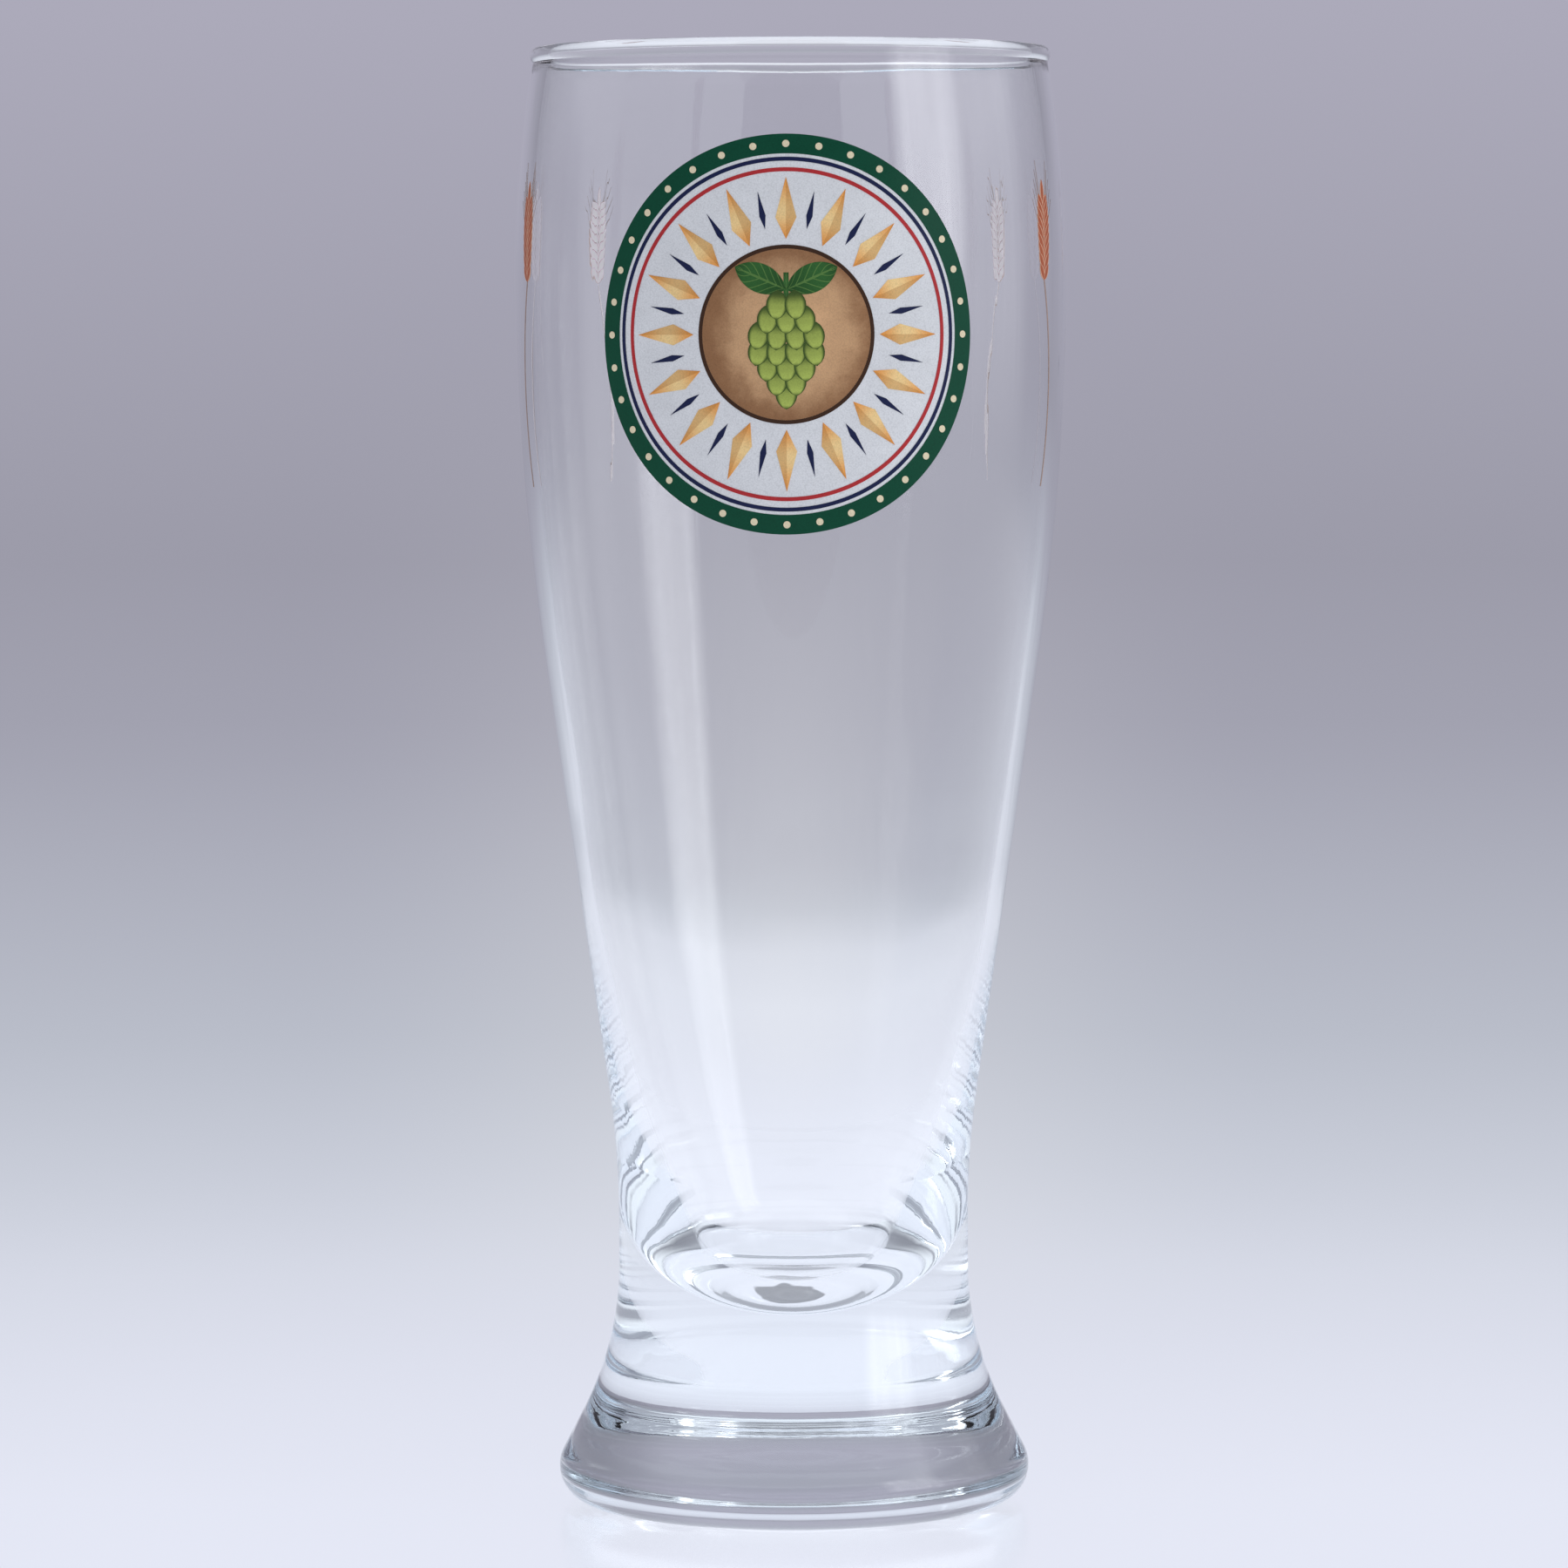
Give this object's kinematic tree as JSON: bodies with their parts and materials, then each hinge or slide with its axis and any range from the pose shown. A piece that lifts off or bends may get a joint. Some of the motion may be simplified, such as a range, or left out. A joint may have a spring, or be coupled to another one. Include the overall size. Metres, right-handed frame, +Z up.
{
  "type": "pilsner glass",
  "caption": "Tall footed beer glass with a heavy solid base, a narrow waist, a flared round bowl and a rounded rim, with a round badge and wheat ears fired on the wall.",
  "frame": {"origin": "on the table, under the middle of the foot", "axes": "+Z up along the axis of the glass, -Y towards the front, where the badge is, and +X to the right of someone who looks at the badge"},
  "size_m": [0.0868, 0.0872, 0.23],
  "materials": {
    "glass": "clear soda-lime glass with a faint blue-green tint, fire-polished",
    "white_ink": "satin fired enamel with a fine print grain",
    "green_ink": "satin fired enamel, dark green",
    "cream_ink": "satin fired enamel, cream",
    "navy_ink": "satin fired enamel, navy blue",
    "red_ink": "satin fired enamel, red",
    "gold_ink": "satin fired enamel, orange gold that fades to pale yellow",
    "tan_ink": "satin fired enamel, parchment tan that darkens towards its edge",
    "brown_ink": "satin fired enamel, dark brown",
    "leaf_ink": "satin fired enamel, leaf green",
    "hop_ink": "satin fired enamel, olive green with darker roots to the scales",
    "ear_ink": "satin fired enamel, orange brown in front and pale on the inner side",
    "stalk_ink": "satin fired enamel, brown in front and pale on the inner side"
  },
  "bodies": {
    "root": {"glass_body": "glass", "badge_white_ground": "white_ink", "badge_green_ring": "green_ink", "badge_cream_beads": "cream_ink", "badge_navy_lines": "navy_ink", "badge_red_ring": "red_ink", "badge_gold_rays": "gold_ink", "badge_tan_roundel": "tan_ink", "badge_brown_rim": "brown_ink", "badge_hop_leaves": "leaf_ink", "badge_hop_cone": "hop_ink", "ear_kernels_front_left": "ear_ink", "ear_kernels_front_right": "ear_ink", "ear_kernels_back_left": "ear_ink", "ear_kernels_back_right": "ear_ink", "ear_stalk_front_left": "stalk_ink", "ear_stalk_front_right": "stalk_ink", "ear_stalk_back_left": "stalk_ink", "ear_stalk_back_right": "stalk_ink"}
  },
  "joints": []
}
